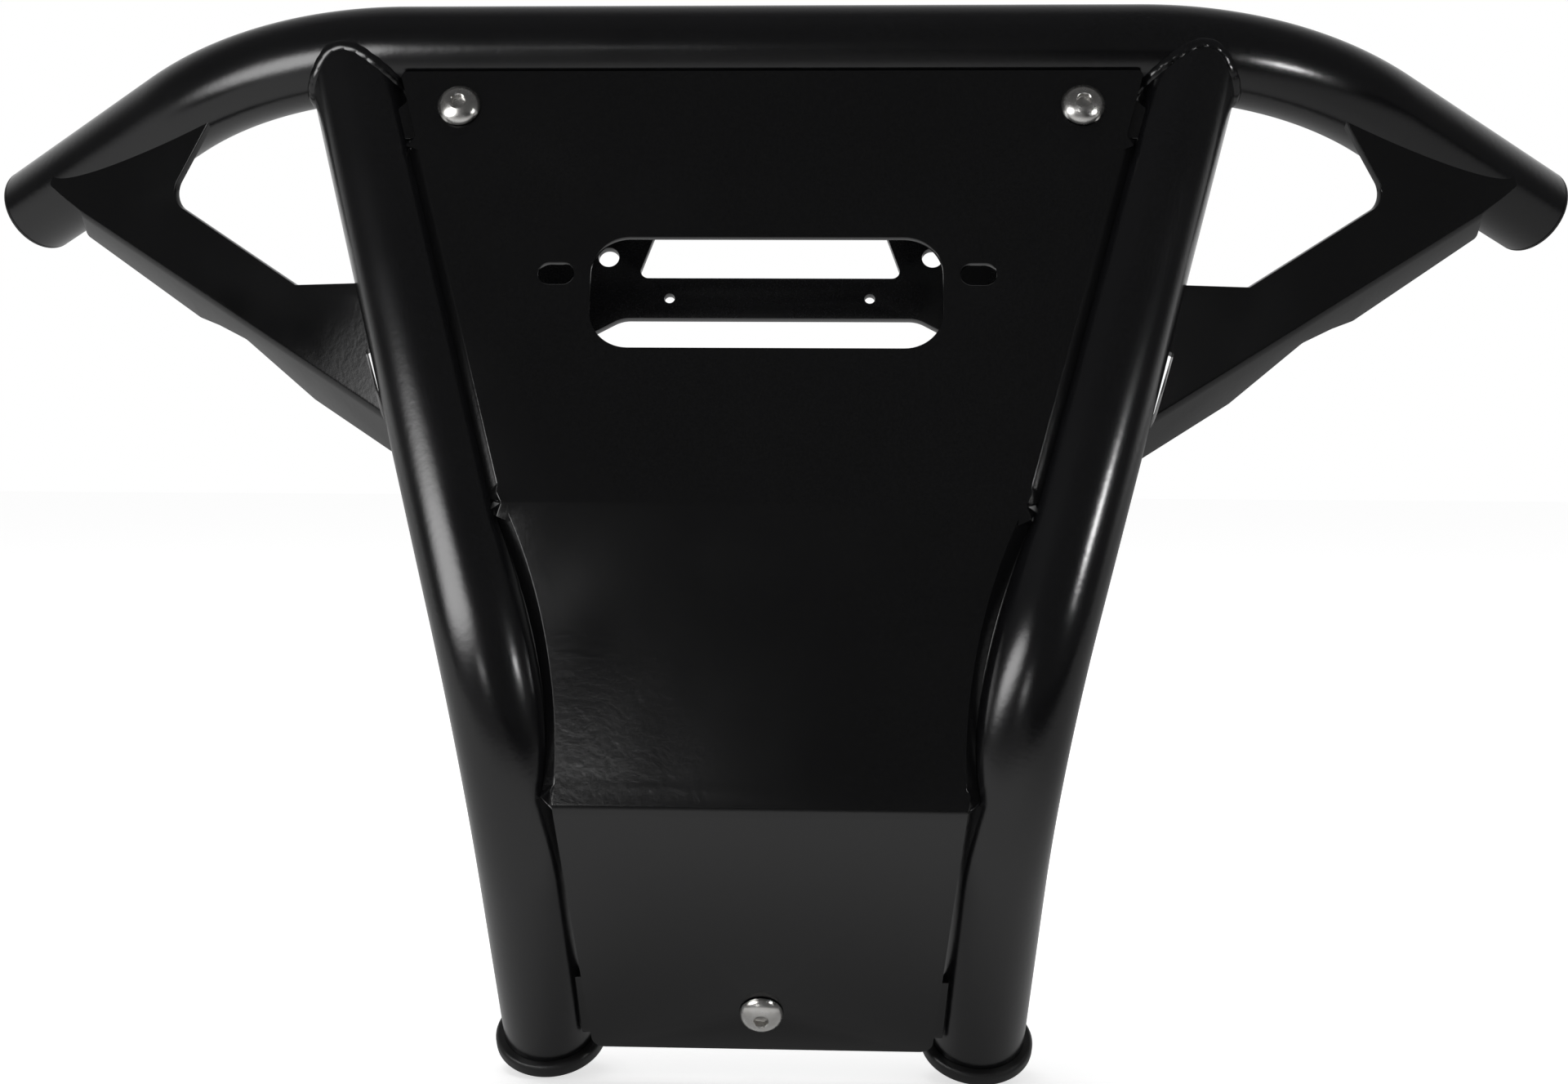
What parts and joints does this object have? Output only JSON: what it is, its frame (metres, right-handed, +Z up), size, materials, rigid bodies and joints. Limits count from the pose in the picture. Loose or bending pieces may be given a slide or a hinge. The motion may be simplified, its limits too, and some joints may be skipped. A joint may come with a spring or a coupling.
{
  "type": "atv front bumper",
  "caption": "Bent tube front bumper on two uprights, with a folded face sheet, a cable opening, side wing plates and a rear cross bracket.",
  "frame": {"origin": "middle of the cross bracket's back face, between its two small holes", "axes": "+X along the bumper, to the right in a view of its front; +Y rearwards, towards the vehicle; +Z up"},
  "size_m": [0.6328, 0.1931, 0.3987],
  "materials": {
    "coat": "semi-gloss black powder coat with fine orange peel",
    "sheet_coat": "satin black powder coat on sheet steel",
    "plug": "satin black moulded plastic",
    "steel": "polished stainless steel"
  },
  "bodies": {
    "root": {"top_tube": "coat", "left_upright": "coat", "right_upright": "coat", "left_weld_bead": "coat", "right_weld_bead": "coat", "left_wing": "coat", "right_wing": "coat", "left_tab": "coat", "right_tab": "coat", "cross_bracket": "coat", "lower_strap": "coat", "face_sheet": "sheet_coat", "left_top_cap": "plug", "right_top_cap": "plug", "left_foot_cap": "plug", "right_foot_cap": "plug", "left_top_screw": "steel", "right_top_screw": "steel", "lower_screw": "steel", "left_top_nut": "steel", "right_top_nut": "steel", "lower_nut": "steel"}
  },
  "joints": []
}
